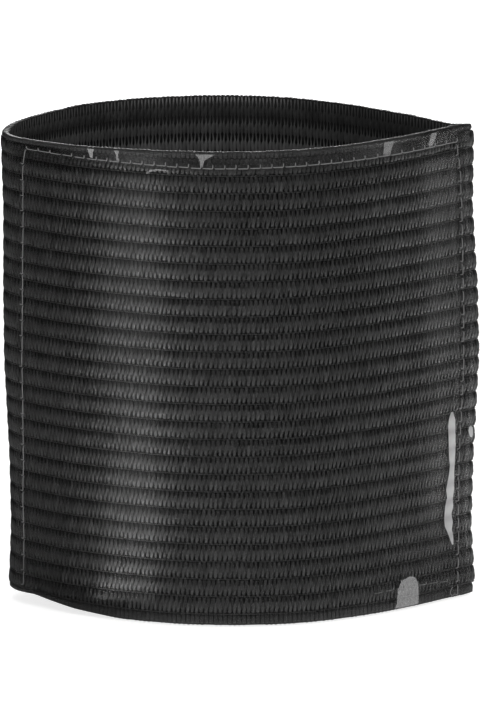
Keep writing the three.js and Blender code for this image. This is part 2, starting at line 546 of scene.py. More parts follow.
@dataclass(frozen=True)
class YarnGrain:
    """The fine unevenness of spun yarn (a mottled shade, a wavering gloss and the fibres' relief) and the
    painted shade of the yarns' flanks.
    """

    name: str = "yarn_grain"
    mottle_share: float = 0.6
    dark_at: float = 0.1
    light_at: float = 1.5
    roughness_share: float = 0.2
    fibre_stretch: float = 0.25

    def group(self) -> bpy.types.ShaderNodeTree:
        """Builds the node group once.

        Returns:
            A group that puts out a tint, a roughness, how far painted shade blacks a place out, and a
            height.
        """
        found = bpy.data.node_groups.get(self.name)
        if found:
            return found
        tree = node_group(
            self.name,
            {"Dark": 0.010, "Light": 0.02, "Gloss": 0.5, "Mottle Scale": 220.0, "Fibre Scale": 5200.0},
            {
                "Tint": "NodeSocketColor",
                "Roughness": "NodeSocketFloat",
                "Painted Shade": "NodeSocketFloat",
                "Height": "NodeSocketFloat",
            },
        )
        nodes, links = tree.nodes, tree.links
        given, out = nodes["Group Input"], nodes["Group Output"]
        place = nodes.new("ShaderNodeTexCoord")
        mottle, fibre = (nodes.new("ShaderNodeTexNoise") for _ in range(2))
        fine = vector_node(tree, "MULTIPLY", place.outputs["Object"], (1.0, 1.0, self.fibre_stretch))
        links.new(place.outputs["Object"], mottle.inputs["Vector"])
        links.new(fine.outputs["Vector"], fibre.inputs["Vector"])
        links.new(given.outputs["Mottle Scale"], mottle.inputs["Scale"])
        links.new(given.outputs["Fibre Scale"], fibre.inputs["Scale"])
        shade = nodes.new("ShaderNodeAttribute")
        shade.attribute_name = "shade"
        mottled, shaded = mottle.outputs["Fac"], shade.outputs["Fac"]
        both = math_node(tree, "MULTIPLY_ADD", mottled, self.mottle_share, shaded)
        tone = nodes.new("ShaderNodeMapRange")
        tone.inputs["From Min"].default_value = self.dark_at
        tone.inputs["From Max"].default_value = self.light_at
        links.new(both, tone.inputs["Value"])
        links.new(given.outputs["Dark"], tone.inputs["To Min"])
        links.new(given.outputs["Light"], tone.inputs["To Max"])
        # Painted shade: the flank attribute blacks out the tint, and as Metallic on that black tint it takes
        # away the gloss.
        painted_flank_shade = nodes.new("ShaderNodeAttribute")
        painted_flank_shade.attribute_name = "painted_flank_shade"
        links.new(painted_flank_shade.outputs["Fac"], out.inputs["Painted Shade"])
        lit = math_node(tree, "SUBTRACT", 1.0, painted_flank_shade.outputs["Fac"])
        tint = math_node(tree, "MULTIPLY", tone.outputs["Result"], lit)
        grey = nodes.new("ShaderNodeCombineColor")
        for channel in ("Red", "Green", "Blue"):
            links.new(tint, grey.inputs[channel])
        links.new(grey.outputs["Color"], out.inputs["Tint"])
        fibres, gloss = fibre.outputs["Fac"], given.outputs["Gloss"]
        rough = math_node(tree, "MULTIPLY_ADD", fibres, self.roughness_share, gloss)
        links.new(rough, out.inputs["Roughness"])
        links.new(fibre.outputs["Fac"], out.inputs["Height"])
        return tree


@dataclass(frozen=True)
class YarnFlatness:
    """Yarns that are packed flat: their sheen follows the wall more than their own round sides."""

    name: str = "yarn_flatness"

    def group(self) -> bpy.types.ShaderNodeTree:
        """Builds the node group once.

        Returns:
            A group that puts out the normal, with only a share of its turn along the webbing.
        """
        found = bpy.data.node_groups.get(self.name)
        if found:
            return found
        tree = node_group(self.name, {"Flatness": 0.7}, {"Normal": "NodeSocketVector"})
        nodes, links = tree.nodes, tree.links
        wall = nodes.new("ShaderNodeAttribute")
        wall.attribute_name = "wall"
        shape = nodes.new("ShaderNodeNewGeometry")
        side = vector_node(tree, "CROSS_PRODUCT", wall.outputs["Vector"], (0.0, 0.0, 1.0))
        turn = vector_node(tree, "DOT_PRODUCT", shape.outputs["Normal"], side.outputs["Vector"])
        cut = math_node(tree, "MULTIPLY", turn.outputs["Value"], nodes["Group Input"].outputs["Flatness"])
        spare = vector_node(tree, "SCALE", side.outputs["Vector"])
        links.new(cut, spare.inputs["Scale"])
        less = vector_node(tree, "SUBTRACT", shape.outputs["Normal"], spare.outputs["Vector"])
        flat = vector_node(tree, "NORMALIZE", less.outputs["Vector"])
        links.new(flat.outputs["Vector"], nodes["Group Output"].inputs["Normal"])
        return tree


@dataclass(frozen=True)
class YarnFinish:
    """Dyed polyester yarn: near black, with a soft sheen."""

    name: str
    dark: float
    light: float
    gloss: float
    specular: float = 0.5
    flatness: float = 0.88
    bump: float = 0.10
    fibre_height: float = 0.05

    def material(self) -> bpy.types.Material:
        """Builds the yarn's material."""
        material = bpy.data.materials.new(self.name)
        material.use_nodes = True
        nodes, links = material.node_tree.nodes, material.node_tree.links
        shader = nodes["Principled BSDF"]
        shader.inputs["Specular IOR Level"].default_value = self.specular
        grain, flat = (nodes.new("ShaderNodeGroup") for _ in range(2))
        grain.node_tree = YarnGrain().group()
        grain.inputs["Dark"].default_value = self.dark
        grain.inputs["Light"].default_value = self.light
        grain.inputs["Gloss"].default_value = self.gloss
        flat.node_tree = YarnFlatness().group()
        flat.inputs["Flatness"].default_value = self.flatness
        relief = nodes.new("ShaderNodeBump")
        relief.inputs["Strength"].default_value = self.bump
        relief.inputs["Distance"].default_value = self.fibre_height * MM
        links.new(grain.outputs["Tint"], shader.inputs["Base Color"])
        links.new(grain.outputs["Roughness"], shader.inputs["Roughness"])
        # Painted shade: Metallic on the blacked-out tint kills the sheen of the flanks.
        links.new(grain.outputs["Painted Shade"], shader.inputs["Metallic"])
        links.new(grain.outputs["Height"], relief.inputs["Height"])
        links.new(flat.outputs["Normal"], relief.inputs["Normal"])
        links.new(relief.outputs["Normal"], shader.inputs["Normal"])
        return material


@dataclass(frozen=True)
class VinylFinish:
    """Clear soft vinyl: it lets what is behind it through, mirrors a little, and is hazy in places; the haze
    also serves as painted glare.
    """

    name: str
    ior: float
    haze: float
    mottle: float
    roughness: float = 0.08
    most_gloss: float = 0.012
    haze_grey: float = 0.8
    haze_roughness: float = 0.35
    spot_scale: float = 450.0

    def material(self) -> bpy.types.Material:
        """Builds the vinyl's material; the shade attribute says how hazy it is."""
        material = bpy.data.materials.new(self.name)
        material.use_nodes = True
        tree = material.node_tree
        nodes, links = tree.nodes, tree.links
        cloud = nodes["Principled BSDF"]
        cloud.inputs["Base Color"].default_value = (self.haze_grey,) * 3 + (1.0,)
        cloud.inputs["Roughness"].default_value = self.haze_roughness
        through = nodes.new("ShaderNodeBsdfTransparent")
        gloss = nodes.new("ShaderNodeBsdfGlossy")
        gloss.inputs["Roughness"].default_value = self.roughness
        share = nodes.new("ShaderNodeFresnel")
        share.inputs["IOR"].default_value = self.ior
        clear, whole = (nodes.new("ShaderNodeMixShader") for _ in range(2))
        place = nodes.new("ShaderNodeTexCoord")
        spots = nodes.new("ShaderNodeTexNoise")
        spots.inputs["Scale"].default_value = self.spot_scale
        shade = nodes.new("ShaderNodeAttribute")
        shade.attribute_name = "shade"
        links.new(place.outputs["Object"], spots.inputs["Vector"])
        uneven = math_node(tree, "MULTIPLY_ADD", spots.outputs["Fac"], self.mottle, 1.0 - self.mottle / 2)
        cloudy = math_node(tree, "MULTIPLY", shade.outputs["Fac"], self.haze)
        links.new(math_node(tree, "MINIMUM", share.outputs["Fac"], self.most_gloss), clear.inputs["Fac"])
        links.new(through.outputs["BSDF"], clear.inputs[1])
        links.new(gloss.outputs["BSDF"], clear.inputs[2])
        links.new(math_node(tree, "MULTIPLY", cloudy, uneven), whole.inputs["Fac"])
        links.new(clear.outputs["Shader"], whole.inputs[1])
        links.new(cloud.outputs["BSDF"], whole.inputs[2])
        links.new(whole.outputs["Shader"], nodes["Material Output"].inputs["Surface"])
        return material


@dataclass(frozen=True)
class ThreadFinish:
    """Light grey sewing thread."""

    name: str = "sewing_thread"
    grey: float = 0.17
    roughness: float = 0.6

    def material(self) -> bpy.types.Material:
        """Builds the thread's material."""
        material = bpy.data.materials.new(self.name)
        material.use_nodes = True
        shader = material.node_tree.nodes["Principled BSDF"]
        shader.inputs["Base Color"].default_value = (self.grey, self.grey, self.grey, 1.0)
        shader.inputs["Roughness"].default_value = self.roughness
        return material


# The webbing


@dataclass(frozen=True)
class YarnRing:
    """One ring of a yarn that floats over a rib."""

    at: float
    half_width: float
    half_thickness: float
    depth: float
    shift: float


LOWER_FLOAT = (
    YarnRing(at=0.74, half_width=0.0, half_thickness=0.0, depth=0.48, shift=0.10),
    YarnRing(at=0.54, half_width=0.37, half_thickness=0.18, depth=0.32, shift=0.05),
    YarnRing(at=0.32, half_width=0.42, half_thickness=0.22, depth=0.31, shift=0.0),
    YarnRing(at=0.09, half_width=0.355, half_thickness=0.21, depth=0.39, shift=-0.045),
    YarnRing(at=0.01, half_width=0.0, half_thickness=0.0, depth=0.46, shift=-0.06),
)
UPPER_FLOAT = (
    YarnRing(at=0.995, half_width=0.0, half_thickness=0.0, depth=0.54, shift=0.06),
    YarnRing(at=0.915, half_width=0.335, half_thickness=0.18, depth=0.40, shift=0.055),
    YarnRing(at=0.66, half_width=0.43, half_thickness=0.22, depth=0.33, shift=0.01),
    YarnRing(at=0.42, half_width=0.37, half_thickness=0.18, depth=0.32, shift=-0.04),
    YarnRing(at=0.20, half_width=0.0, half_thickness=0.0, depth=0.50, shift=-0.10),
)


@dataclass
class BandCloth:
    """The ground of the webbing: a closed ribbed ring that the yarns lie on."""

    loop: Loop
    ground: float = 0.60
    valley_depth: float = 0.08
    back: float = 0.42
    edge: float = 0.25
    points_per_rib: int = 4
    back_steps: int = 12

    def outline(self) -> list[tuple[float, float]]:
        """The section of the ground as depths and heights, once round."""
        web = self.loop.webbing
        valley = self.ground + self.valley_depth
        outside = [(valley, self.edge), (valley, web.lower_selvedge)]
        for rib in range(web.rib_count):
            for step in range(1, self.points_per_rib + 1):
                share = step / self.points_per_rib
                depth = self.ground + self.valley_depth * (1 - math.sin(math.pi * share))
                outside.append((depth, web.lower_selvedge + (rib + share) * web.rib_pitch))
        outside.append((valley, web.height - self.edge))
        inner_depth = web.wall - self.back
        levels = [web.height * step / self.back_steps for step in range(self.back_steps - 1, 0, -1)]
        inside = [(inner_depth, level) for level in levels]
        inside = [(inner_depth, web.height - self.edge), *inside, (inner_depth, self.edge)]
        return outside + inside

    def build(self, material: bpy.types.Material) -> bpy.types.Object:
        """Sweeps the section along the webbing and bends it round.

        Args:
            material: the ground's finish.

        Returns:
            The shown piece, which stands for the band's solid.
        """
        web = self.loop.webbing
        bm = bmesh.new()
        corners = [bm.verts.new((0.0, depth, height)) for depth, height in self.outline()]
        section = [bm.edges.new(pair) for pair in zip(corners, corners[1:] + corners[:1])]
        bmesh.ops.spin(
            bm,
            geom=corners + section,
            cent=(0, 0, 0),
            axis=(1, 0, 0),
            dvec=(self.loop.length / web.column_count, 0, 0),
            angle=0.0,
            steps=web.column_count,
            use_merge=False,
        )
        self.loop.close(bm)
        mesh = finished_mesh(bm, "band_cloth")
        piece = bent_piece(mesh, read_points(mesh), self.loop, material)
        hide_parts("elastic_band")
        return piece


@dataclass
class OuterYarns:
    """The yarns that float over the ribs of the outer face, two rows to a rib.

    Their flanks take painted shade that makes them dead black, the more so where the front wall turns away
    from the front.
    """

    loop: Loop
    sides: int = 5
    spread: float = 0.03
    swell: float = 0.07
    slow_swell: float = 0.20
    packed_swell: float = 0.35
    patch: tuple[float, float] = (1.5, 7.0)
    middle_shade: float = 0.5
    slow_shade: float = 0.25
    shade_noise: float = 0.30
    packed_painted_shade: float = 0.5
    flank_from: float = 0.1
    flank_to: float = 0.433
    flank_painted_shade: float = 0.25
    oblique_painted_shade: float = 0.6
    oblique_left: tuple[float, float] = (20.0, 36.0)
    oblique_right: tuple[float, float] = (32.0, 46.0)

    def unit(self, rings: tuple[YarnRing, ...], name: str) -> bpy.types.Mesh:
        """Shapes one float from a ball.

        Args:
            rings: the float's rings from its upper tip to its lower one.
            name: the mesh's name.

        Returns:
            The float in its place on the lowest rib of the first column.
        """
        web = self.loop.webbing
        levels = len(rings) - 1
        bm = bmesh.new()
        bmesh.ops.create_uvsphere(bm, u_segments=self.sides, v_segments=levels, radius=1.0)
        for vert in bm.verts:
            polar = math.acos(max(-1.0, min(1.0, vert.co.z)))
            here = rings[round(polar * levels / math.pi)]
            turn = math.atan2(vert.co.y, vert.co.x) - math.pi / 2
            across = here.shift + here.half_width * math.cos(turn)
            depth = here.depth + here.half_thickness * math.sin(turn)
            vert.co = Vector((across, depth, web.lower_selvedge + here.at * web.rib_pitch))
        return finished_mesh(bm, name)

    def build(
        self,
        name: str,
        rings: tuple[YarnRing, ...],
        offset: float,
        seed: int,
        material: bpy.types.Material,
    ) -> bpy.types.Object:
        """Lays one row of floats on every rib all round the band.

        Args:
            name: the piece's name.
            rings: the shape of a float.
            offset: how far the row is shifted along, in columns.
            seed: the seed of the yarns' unevenness.
            material: the yarns' finish.

        Returns:
            The shown piece.
        """
        web = self.loop.webbing
        column = self.loop.length / web.column_count
        mesh = repeated(
            self.unit(rings, name),
            (web.column_count, Vector((column, 0, 0))),
            (web.rib_count, Vector((0, 0, web.rib_pitch))),
        )
        count = web.column_count * web.rib_count
        points = read_points(mesh).reshape(count, -1, 3)
        chance = np.random.default_rng(seed)
        slow = patchy(chance, web.rib_count, web.column_count, self.patch).ravel()
        points[:, :, 0] += offset * column - self.loop.length / 2
        centre = points.mean(axis=1, keepdims=True)
        packed = self.loop.packed_share(centre[:, 0, 0], centre[:, 0, 2])
        swell = 1 + self.slow_swell * slow + self.packed_swell * packed
        swell = swell + chance.normal(0.0, self.swell, count)
        scale = np.stack([swell, np.ones(count), np.ones(count)], axis=1)[:, None, :]
        points = centre + (points - centre) * scale
        points += chance.normal(0.0, self.spread, (count, 1, 3)) * [1.0, 0.5, 1.6]
        points[:, :, 1] += self.loop.seam_press(points[:, :, 0], points[:, :, 2])
        # Random tone, less a painted shade where the seam packs the floats under the window's top margin.
        shades = self.middle_shade + self.slow_shade * slow - self.packed_painted_shade * packed
        shades = shades + chance.normal(0.0, self.shade_noise, count)
        # Painted shade: each float's flanks are blacked out, the more so where the wall turns away from the
        # front.
        middle = points[:, :, 0].mean(axis=1, keepdims=True)
        off_middle = np.abs(points[:, :, 0] - middle) / column
        flank = np.clip((off_middle - self.flank_from) / (self.flank_to - self.flank_from), 0, 1)
        oblique = smooth_share(-middle, *self.oblique_left) + smooth_share(middle, *self.oblique_right)
        painted_flank_shades = flank * (self.flank_painted_shade + self.oblique_painted_shade * oblique)
        shades = np.repeat(np.clip(shades, 0, 1), points.shape[1])
        flat = points.reshape(-1, 3)
        return bent_piece(mesh, flat, self.loop, material, shades, painted_flank_shades.ravel())


@dataclass
class TieThreads:
    """The beaded thread that ties the yarns down in the valley between two ribs."""

    loop: Loop
    beads_per_column: int = 2
    sides: int = 3
    thick: float = 0.20
    thin: float = 0.08
    depth: float = 0.37

    def build(self, material: bpy.types.Material) -> bpy.types.Object:
        """Runs one beaded thread round the band in every valley.

        Args:
            material: the thread's finish.

        Returns:
            The shown piece.
        """
        web = self.loop.webbing
        steps = web.column_count * self.beads_per_column * 2
        bm = bmesh.new()
        centre = (0, self.depth, web.lower_selvedge)
        start = ring(centre, Vector((1, 0, 0)), Vector((0, 0, 1)), self.thin, self.thin)
        made = bmesh.ops.create_circle(bm, segments=self.sides, radius=1.0, matrix=start)
        bmesh.ops.spin(
            bm,
            geom=made["verts"] + list({edge for vert in made["verts"] for edge in vert.link_edges}),
            cent=(0, 0, 0),
            axis=(1, 0, 0),
            dvec=(self.loop.length / steps, 0, 0),
            angle=0.0,
            steps=steps,
            use_merge=False,
        )
        swell = Matrix.Diagonal((1.0, self.thick / self.thin, self.thick / self.thin, 1.0))
        middle = Matrix.Translation(centre)
        beads = [vert for vert in bm.verts if round(vert.co.x * steps / self.loop.length) % 2]
        bmesh.ops.transform(bm, matrix=middle @ swell @ middle.inverted(), verts=beads)
        self.loop.close(bm)
        mesh = repeated(finished_mesh(bm, "tie_threads"), (web.rib_count, Vector((0, 0, web.rib_pitch))))
        return bent_piece(mesh, read_points(mesh), self.loop, material)


@dataclass
class InnerYarns:
    """The upright yarns of the inner face, which part and meet from rib to rib."""

    loop: Loop
    yarn_count: int = 306
    sides: int = 4
    half_width: float = 0.44
    half_thickness: float = 0.22
    narrowing: float = 0.25
    sway: float = 0.08
    bulge: float = 0.42
    short_of_top: float = 0.35
    steps_per_rib: int = 3
    unevenness: float = 0.02
    shade_noise: float = 0.6
    painted_light_below_rim: float = 0.95
    painted_rim_shade_to: float = 1.0
    painted_rim_shade_from: float = 16.0
    seed: int = 23

    def build(self, material: bpy.types.Material) -> bpy.types.Object:
        """Stands the yarns side by side all round the inside.

        Args:
            material: the yarns' finish.

        Returns:
            The shown piece.
        """
        web = self.loop.webbing
        steps = web.rib_count * self.steps_per_rib + 1
        pitch = self.loop.length / self.yarn_count
        rise = web.rib_pitch / self.steps_per_rib
        foot = web.lower_selvedge - rise / 2
        bm = bmesh.new()
        up, side = Vector((0, 0, 1)), Vector((1, 0, 0))
        base = ring((0, 0, foot), up, side, self.half_width, self.half_thickness)
        bmesh.ops.create_circle(bm, cap_ends=True, segments=self.sides, radius=1.0, matrix=base)
        bmesh.ops.spin(
            bm,
            geom=bm.verts[:] + bm.edges[:] + bm.faces[:],
            cent=(0, 0, 0),
            axis=(0, 0, 1),
            dvec=(0, 0, rise),
            angle=0.0,
            steps=steps,
            use_merge=False,
        )
        mesh = repeated(finished_mesh(bm, "inner_yarns"), (self.yarn_count, Vector((pitch, 0, 0))))
        points = read_points(mesh).reshape(self.yarn_count, -1, 3)
        chance = np.random.default_rng(self.seed)
        phase = (points[:, :, 2] - web.lower_selvedge) / web.rib_pitch
        side = np.where(np.arange(self.yarn_count) % 2, -1.0, 1.0)[:, None]
        centre = (np.arange(self.yarn_count) * pitch)[:, None]
        points[:, :, 0] -= (points[:, :, 0] - centre) * self.narrowing * np.cos(math.pi * phase) ** 2
        points[:, :, 0] += side * self.sway * np.sin(2 * math.pi * phase)
        points[:, :, 0] += chance.normal(0, self.unevenness, (self.yarn_count, 1)) - self.loop.length / 2
        points[:, :, 1] += web.wall - self.half_thickness - self.bulge * np.cos(math.pi * phase) ** 2
        points[:, :, 2] = np.where(phase > web.rib_count, web.height - self.short_of_top, points[:, :, 2])
        # Painted light and shade: the yarns are tinted dark along the top rim and lighter lower down the
        # inner wall.
        shades = chance.uniform(0.0, self.shade_noise, (self.yarn_count, 1))
        painted_light_share = smooth_share(points[:, :, 2], web.height - self.painted_rim_shade_to, web.height - self.painted_rim_shade_from)
        shades = (shades + self.painted_light_below_rim) * painted_light_share
        return bent_piece(mesh, points.reshape(-1, 3), self.loop, material, shades.ravel())


@dataclass(frozen=True)
class EdgePoint:
    """One ring of a yarn that turns round an edge of the webbing, measured in from the edge."""

    depth: float
    inset: float
    half_width: float
    half_thickness: float


EDGE_TURN = (
    EdgePoint(depth=0.75, inset=1.00, half_width=0.40, half_thickness=0.16),
    EdgePoint(depth=0.62, inset=0.62, half_width=0.46, half_thickness=0.22),
    EdgePoint(depth=0.70, inset=0.16, half_width=0.47, half_thickness=0.22),
    EdgePoint(depth=1.15, inset=0.05, half_width=0.46, half_thickness=0.20),
    EdgePoint(depth=1.60, inset=0.16, half_width=0.47, half_thickness=0.20),
    EdgePoint(depth=1.58, inset=0.62, half_width=0.46, half_thickness=0.18),
    EdgePoint(depth=1.56, inset=1.00, half_width=0.40, half_thickness=0.16),
)


@dataclass
class Selvedges:
    """The yarns that turn round the two edges of the webbing."""

    loop: Loop
    sides: int = 6
    unevenness: float = 0.06
    painted_corner_shadow: float = 15.0
    shade_noise: float = 0.4
    front_painted_light: float = 0.6
    seed: int = 31

    def build(
        self,
        name: str,
        at: float,
        inward: float,
        material: bpy.types.Material,
    ) -> bpy.types.Object:
        """Turns a row of yarns round one edge.

        Args:
            name: the piece's name.
            at: the height of the edge.
            inward: how high the selvedge is, and below zero at the upper edge.
            material: the yarns' finish.

        Returns:
            The shown piece.
        """
        web = self.loop.webbing
        up = math.copysign(1, inward)
        places = [(p.depth, at + up * max(p.inset * abs(inward), p.half_thickness)) for p in EDGE_TURN]
        rings = []
        for index, point in enumerate(EDGE_TURN):
            before, after = places[max(index - 1, 0)], places[min(index + 1, len(places) - 1)]
            way = Vector((0, after[0] - before[0], after[1] - before[1]))
            centre, side = (0, *places[index]), Vector((1, 0, 0))
            rings.append(ring(centre, way, side, point.half_width, point.half_thickness))
        bm = bmesh.new()
        tube(bm, rings, self.sides)
        step = Vector((self.loop.length / web.column_count, 0, 0))
        mesh = repeated(finished_mesh(bm, name), (web.column_count, step))
        chance = np.random.default_rng(self.seed)
        points = read_points(mesh).reshape(web.column_count, -1, 3)
        points[:, :, 0] -= self.loop.length / 2
        points[:, :, 2] += np.abs(chance.normal(0, self.unevenness, (web.column_count, 1))) * up
        # Painted light and shade: the selvedge yarns along the front are tinted lighter than at the back,
        # and the front's last stretch at the right fold is left dark as a painted corner shadow.
        front = self.loop.on_front(points[:, :, 0].mean(axis=1) + self.painted_corner_shadow)
        shades = chance.uniform(0, self.shade_noise, web.column_count) + self.front_painted_light * front
        shades = np.repeat(shades, points.shape[1])
        return bent_piece(mesh, points.reshape(-1, 3), self.loop, material, shades)


# The window


class TickSide(Enum):
    """On which side of its line a stitch's end stands up, seen along the line."""

    LEFT = 1.0
    RIGHT = -1.0


@dataclass(frozen=True)
class Seam:
    """A line of stitches, as places on the flat webbing."""

    name: str
    path: tuple[tuple[float, float], ...]
    stitch: float
    ticks: TickSide
    gap: float
    tick: float
    thread: float
    turned: int = 0


SEAMS = (
    Seam(
        name="top",
        path=(
            (-48.4, 97.3), (-40.4, 97.3), (-31.7, 97.0), (-17.6, 96.8),
            (-6.0, 96.5), (13.4, 96.7), (28.0, 96.7), (54.0, 96.7),
        ),
        stitch=2.42,
        ticks=TickSide.LEFT,
        gap=0.40,
        tick=0.75,
        thread=0.105,
        turned=3,
    ),
    Seam(
        name="left",
        path=(
            (-48.9, 97.0), (-49.2, 94.9), (-49.6, 91.2), (-49.9, 79.5), (-50.1, 64.7),
            (-50.6, 43.5), (-51.7, 22.1), (-51.2, 3.8),
        ),
        stitch=3.25,
        ticks=TickSide.RIGHT,
        gap=0.20,
        tick=0.85,
        thread=0.095,
    ),
    Seam(
        name="right",
        path=(
            (54.0, 96.7), (53.8, 95.0), (54.4, 92.8), (54.7, 90.7), (55.3, 82.1), (54.7, 68.5),
            (54.4, 50.5), (54.4, 31.5), (54.5, 18.7), (54.7, 14.5), (53.5, 0.7),
        ),
        stitch=2.8,
        ticks=TickSide.RIGHT,
        gap=0.85,
        tick=0.60,
        thread=0.105,
    ),
    Seam(
        name="bottom",
        path=((29.2, 4.7), (36.8, 4.9), (45.3, 4.6), (50.7, 4.1)),
        stitch=2.4,
        ticks=TickSide.LEFT,
        gap=0.90,
        tick=0.45,
        thread=0.055,
    ),
)
LOOSE_END = ((52.1, 2.7), (51.7, 2.4), (51.35, 1.9), (51.3, 1.4), (51.6, 1.0), (52.1, 0.9), (52.7, 1.2))


# The vinyl's haze along its top margin, partly painted light where it rises near the fourth buckle.
MARGIN_HAZE_AND_LIGHT = (
    (-42.0, 0.0), (-36.0, 0.35), (-20.0, 0.55), (-14.0, 0.2), (-8.0, 0.05), (4.0, 0.3), (21.0, 0.3),
    (25.0, 0.5), (31.0, 1.1), (36.0, 1.0), (39.0, 0.1), (43.0, 0.0), (48.0, 0.1), (52.0, 0.0),
)


@dataclass
class WindowSheet:
    """The clear sheet that lies over the front wall, sewn down along its ends and its top."""

    loop: Loop
    first_row: int = 18
    last_row: int = 5
    bottom: float = 0.7
    top: float = 99.7
    cell: float = 0.8
    edge_thinness: float = 0.05
    haze_rise: float = 0.6
    right_painted_light: float = 0.2
    right_painted_light_rise: float = 0.8

    def build(self, material: bpy.types.Material) -> bpy.types.Object:
        """Lays the sheet over the crests.

        Args:
            material: the vinyl's finish.

        Returns:
            The shown piece, which stands for the window's solid.
        """
        first, last = (self.loop.along_at_row(row) for row in (self.first_row, self.last_row))
        width, height = last - first, self.top - self.bottom
        bm = bmesh.new()
        bmesh.ops.create_grid(
            bm,
            x_segments=round(width / self.cell),
            y_segments=round(height / self.cell),
            size=0.5,
        )
        mesh = finished_mesh(bm, "window_sheet")
        flat = read_points(mesh)
        along = first + (flat[:, 0] + 0.5) * width
        level = self.bottom + (flat[:, 1] + 0.5) * height
        flat = np.stack([along, -self.loop.window_lift(along, level), level], axis=1)
        # The margin's haze, partly painted light; past the right seam a faint haze paints light on that
        # edge.
        margin = smooth_share(level, self.loop.top_seam, self.loop.top_seam + self.haze_rise)
        margin *= np.interp(along, *zip(*MARGIN_HAZE_AND_LIGHT))
        right = smooth_share(along, self.loop.right_seam, self.loop.right_seam + self.right_painted_light_rise)
        margin = np.maximum(margin, self.right_painted_light * right)
        piece = bent_piece(mesh, flat, self.loop, material, margin)
        edges = [along - first, last - along, level - self.bottom, self.top - level]
        from_edge = np.minimum.reduce(edges)
        body = piece.vertex_groups.new(name="body")
        body.add(np.flatnonzero(from_edge > self.cell / 2).tolist(), 1.0, "REPLACE")
        wall = piece.modifiers.new("thickness", "SOLIDIFY")
        wall.thickness = self.loop.window_thickness * MM
        wall.offset = 1.0
        wall.vertex_group = body.name
        wall.thickness_vertex_group = self.edge_thinness
        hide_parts("clear_window")
        return piece


@dataclass(frozen=True)
class Buckle:
    """A small raised buckle of the window, by its outline on the flat webbing, with the glare on it painted
    as a pale haze.
    """

    name: str
    outline: tuple[tuple[float, float], ...]
    # How pale the painted glare on the buckle is; it also sets how far the buckle swells.
    painted_glare: float
    rim: float
    # How much the painted glare dims towards the valleys between ribs.
    glare_ripple: float = 0.0


BUCKLES = (
    Buckle(
        name="first",
        outline=((-32.6, 99.7), (-31.0, 99.7), (-31.3, 98.7), (-31.5, 97.3), (-32.0, 97.3), (-32.3, 98.6)),
        painted_glare=0.47,
        rim=0.10,
    ),
    Buckle(
        name="second",
        outline=((-26.6, 99.7), (-25.3, 99.7), (-25.6, 98.6), (-25.6, 97.0), (-26.1, 97.0), (-26.1, 98.8)),
        painted_glare=0.38,
        rim=0.10,
    ),
    Buckle(
        name="third",
        outline=(
            (-8.9, 99.6), (-5.0, 99.6), (-6.1, 98.9), (-7.1, 98.3), (-7.5, 96.8), (-8.0, 96.8), (-8.1, 98.4),
        ),
        painted_glare=0.39,
        rim=0.10,
    ),
    Buckle(
        name="fourth",
        outline=(
            (32.4, 99.7), (35.1, 99.7), (34.5, 98.4), (34.3, 97.0), (33.5, 96.8), (32.4, 97.0), (32.3, 98.3),
        ),
        painted_glare=0.375,
        rim=0.30,
    ),
    Buckle(
        name="fifth",
        outline=((45.6, 99.7), (47.4, 99.7), (46.9, 98.6), (46.4, 97.0), (45.4, 96.9), (44.9, 97.6)),
        painted_glare=0.37,
        rim=0.22,
    ),
    Buckle(
        name="bottom",
        outline=(
            (38.9, 6.9), (40.0, 7.0), (41.1, 6.5), (41.8, 5.4), (41.9, 3.3), (41.7, 0.9),
            (39.3, 0.8), (35.3, 0.8), (35.8, 1.9), (36.1, 4.6), (37.2, 6.5),
        ),
        painted_glare=0.51,
        rim=0.25,
    ),
    Buckle(
        name="streak",
        outline=(
            (51.8, 39.9), (52.5, 38.3), (52.8, 35.0), (53.1, 32.0), (52.9, 27.0), (53.0, 23.2),
            (52.6, 21.6), (52.8, 19.8), (52.3, 18.2), (52.8, 16.4), (52.5, 14.8), (52.9, 13.5),
            (52.8, 11.6), (52.4, 11.6), (51.1, 14.6), (50.3, 15.8), (50.1, 17.5), (50.3, 20.2),
            (50.8, 21.8), (50.5, 23.6), (51.3, 26.8), (51.5, 28.5), (51.1, 31.0), (50.8, 34.5),
            (50.5, 37.1), (50.7, 38.8), (51.3, 40.0),
        ),
        painted_glare=0.82,
        rim=0.16,
        glare_ripple=0.2,
    ),
    Buckle(
        name="spot",
        outline=(
            (56.6, 35.2), (56.7, 35.9), (57.2, 36.2), (57.8, 35.7), (58.0, 34.8), (58.0, 34.1),
            (57.7, 33.6), (57.1, 33.9),
        ),
        painted_glare=0.75,
        rim=0.15,
    ),
    Buckle(
        name="arc",
        outline=(
            (-19.4, 95.1), (-18.5, 95.7), (-16.9, 96.05), (-14.6, 95.85),
            (-14.6, 95.6), (-16.9, 95.75), (-18.5, 95.35), (-19.2, 94.8),
        ),
        painted_glare=0.40,
        rim=0.05,
    ),
)


